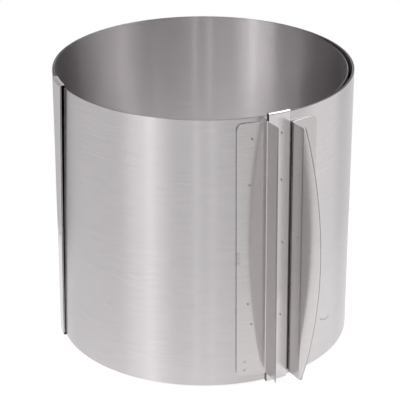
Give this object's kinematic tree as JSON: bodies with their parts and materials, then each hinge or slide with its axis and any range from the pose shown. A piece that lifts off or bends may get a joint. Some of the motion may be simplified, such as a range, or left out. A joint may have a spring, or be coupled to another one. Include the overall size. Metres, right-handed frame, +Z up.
{
  "type": "adjustable cake ring",
  "caption": "Tall open cake ring of thin sheet steel: an inner band slides in an outer band through folded guide strips, moved by upright bow-edged pull handles.",
  "frame": {"origin": "middle of the part's bounding box, at the height of the surface it stands on; the ring's own axis is 0.8 mm towards +X and 10.1 mm towards +Y of it", "axes": "+Z up along the ring's axis, -Y from the ring towards its handles, +X to the right as seen from the handles' side"},
  "size_m": [0.1616, 0.1802, 0.1527],
  "materials": {
    "band_steel": "fine brush lines round the ring",
    "strip_steel": "fine brush lines, bright folds",
    "handle_steel": "satin, fine cross brush lines"
  },
  "bodies": {
    "outer": {"outer_band": "band_steel", "front_guide_strip": "strip_steel", "left_guide_strip": "strip_steel", "right_handle": "handle_steel"},
    "inner": {"inner_band": "band_steel", "left_handle": "handle_steel"}
  },
  "joints": [
    {"name": "band_slide", "type": "hinge", "parent": "outer", "child": "inner", "pos_m": [0.00082, 0.01009, 0], "axis": [0, 0, -1], "range_deg": [0, 75]}
  ]
}
